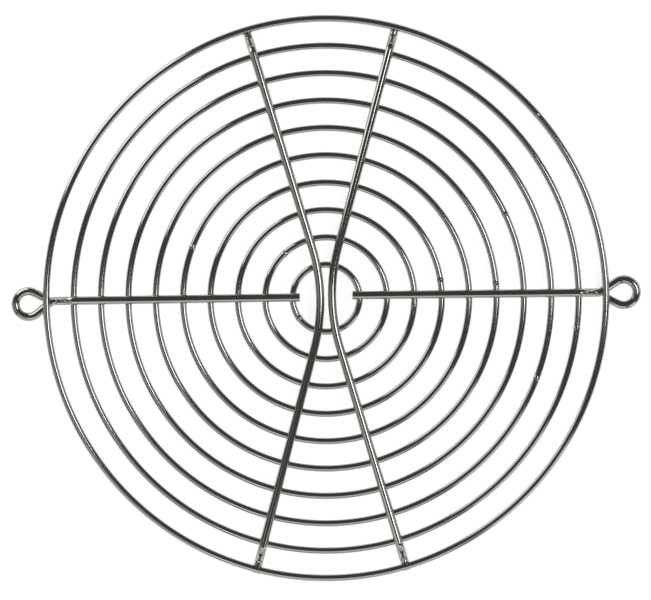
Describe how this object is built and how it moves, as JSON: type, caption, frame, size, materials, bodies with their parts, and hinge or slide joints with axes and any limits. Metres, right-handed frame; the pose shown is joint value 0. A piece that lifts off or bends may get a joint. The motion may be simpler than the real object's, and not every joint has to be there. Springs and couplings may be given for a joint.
{
  "type": "wire fan guard",
  "caption": "Flat round finger guard for an axial fan: wire rings welded behind bent spokes and ribs that end in screw eyes.",
  "frame": {"origin": "middle of the guard, on the plane that meets the fan", "axes": "+Z out of the outer face, away from the fan; X through the two screw eyes; Y between the two spokes"},
  "size_m": [0.1712, 0.154, 0.0059],
  "materials": {
    "ring_wire": "bright nickel and chrome plated drawn steel wire",
    "rib_wire": "bright nickel and chrome plated drawn steel wire, bent cold"
  },
  "bodies": {
    "root": {"ring_1": "ring_wire", "ring_2": "ring_wire", "ring_3": "ring_wire", "ring_4": "ring_wire", "ring_5": "ring_wire", "ring_6": "ring_wire", "ring_7": "ring_wire", "ring_8": "ring_wire", "ring_9": "ring_wire", "ring_10": "ring_wire", "spoke_left": "rib_wire", "spoke_right": "rib_wire", "rib_left": "rib_wire", "rib_right": "rib_wire"}
  },
  "joints": []
}
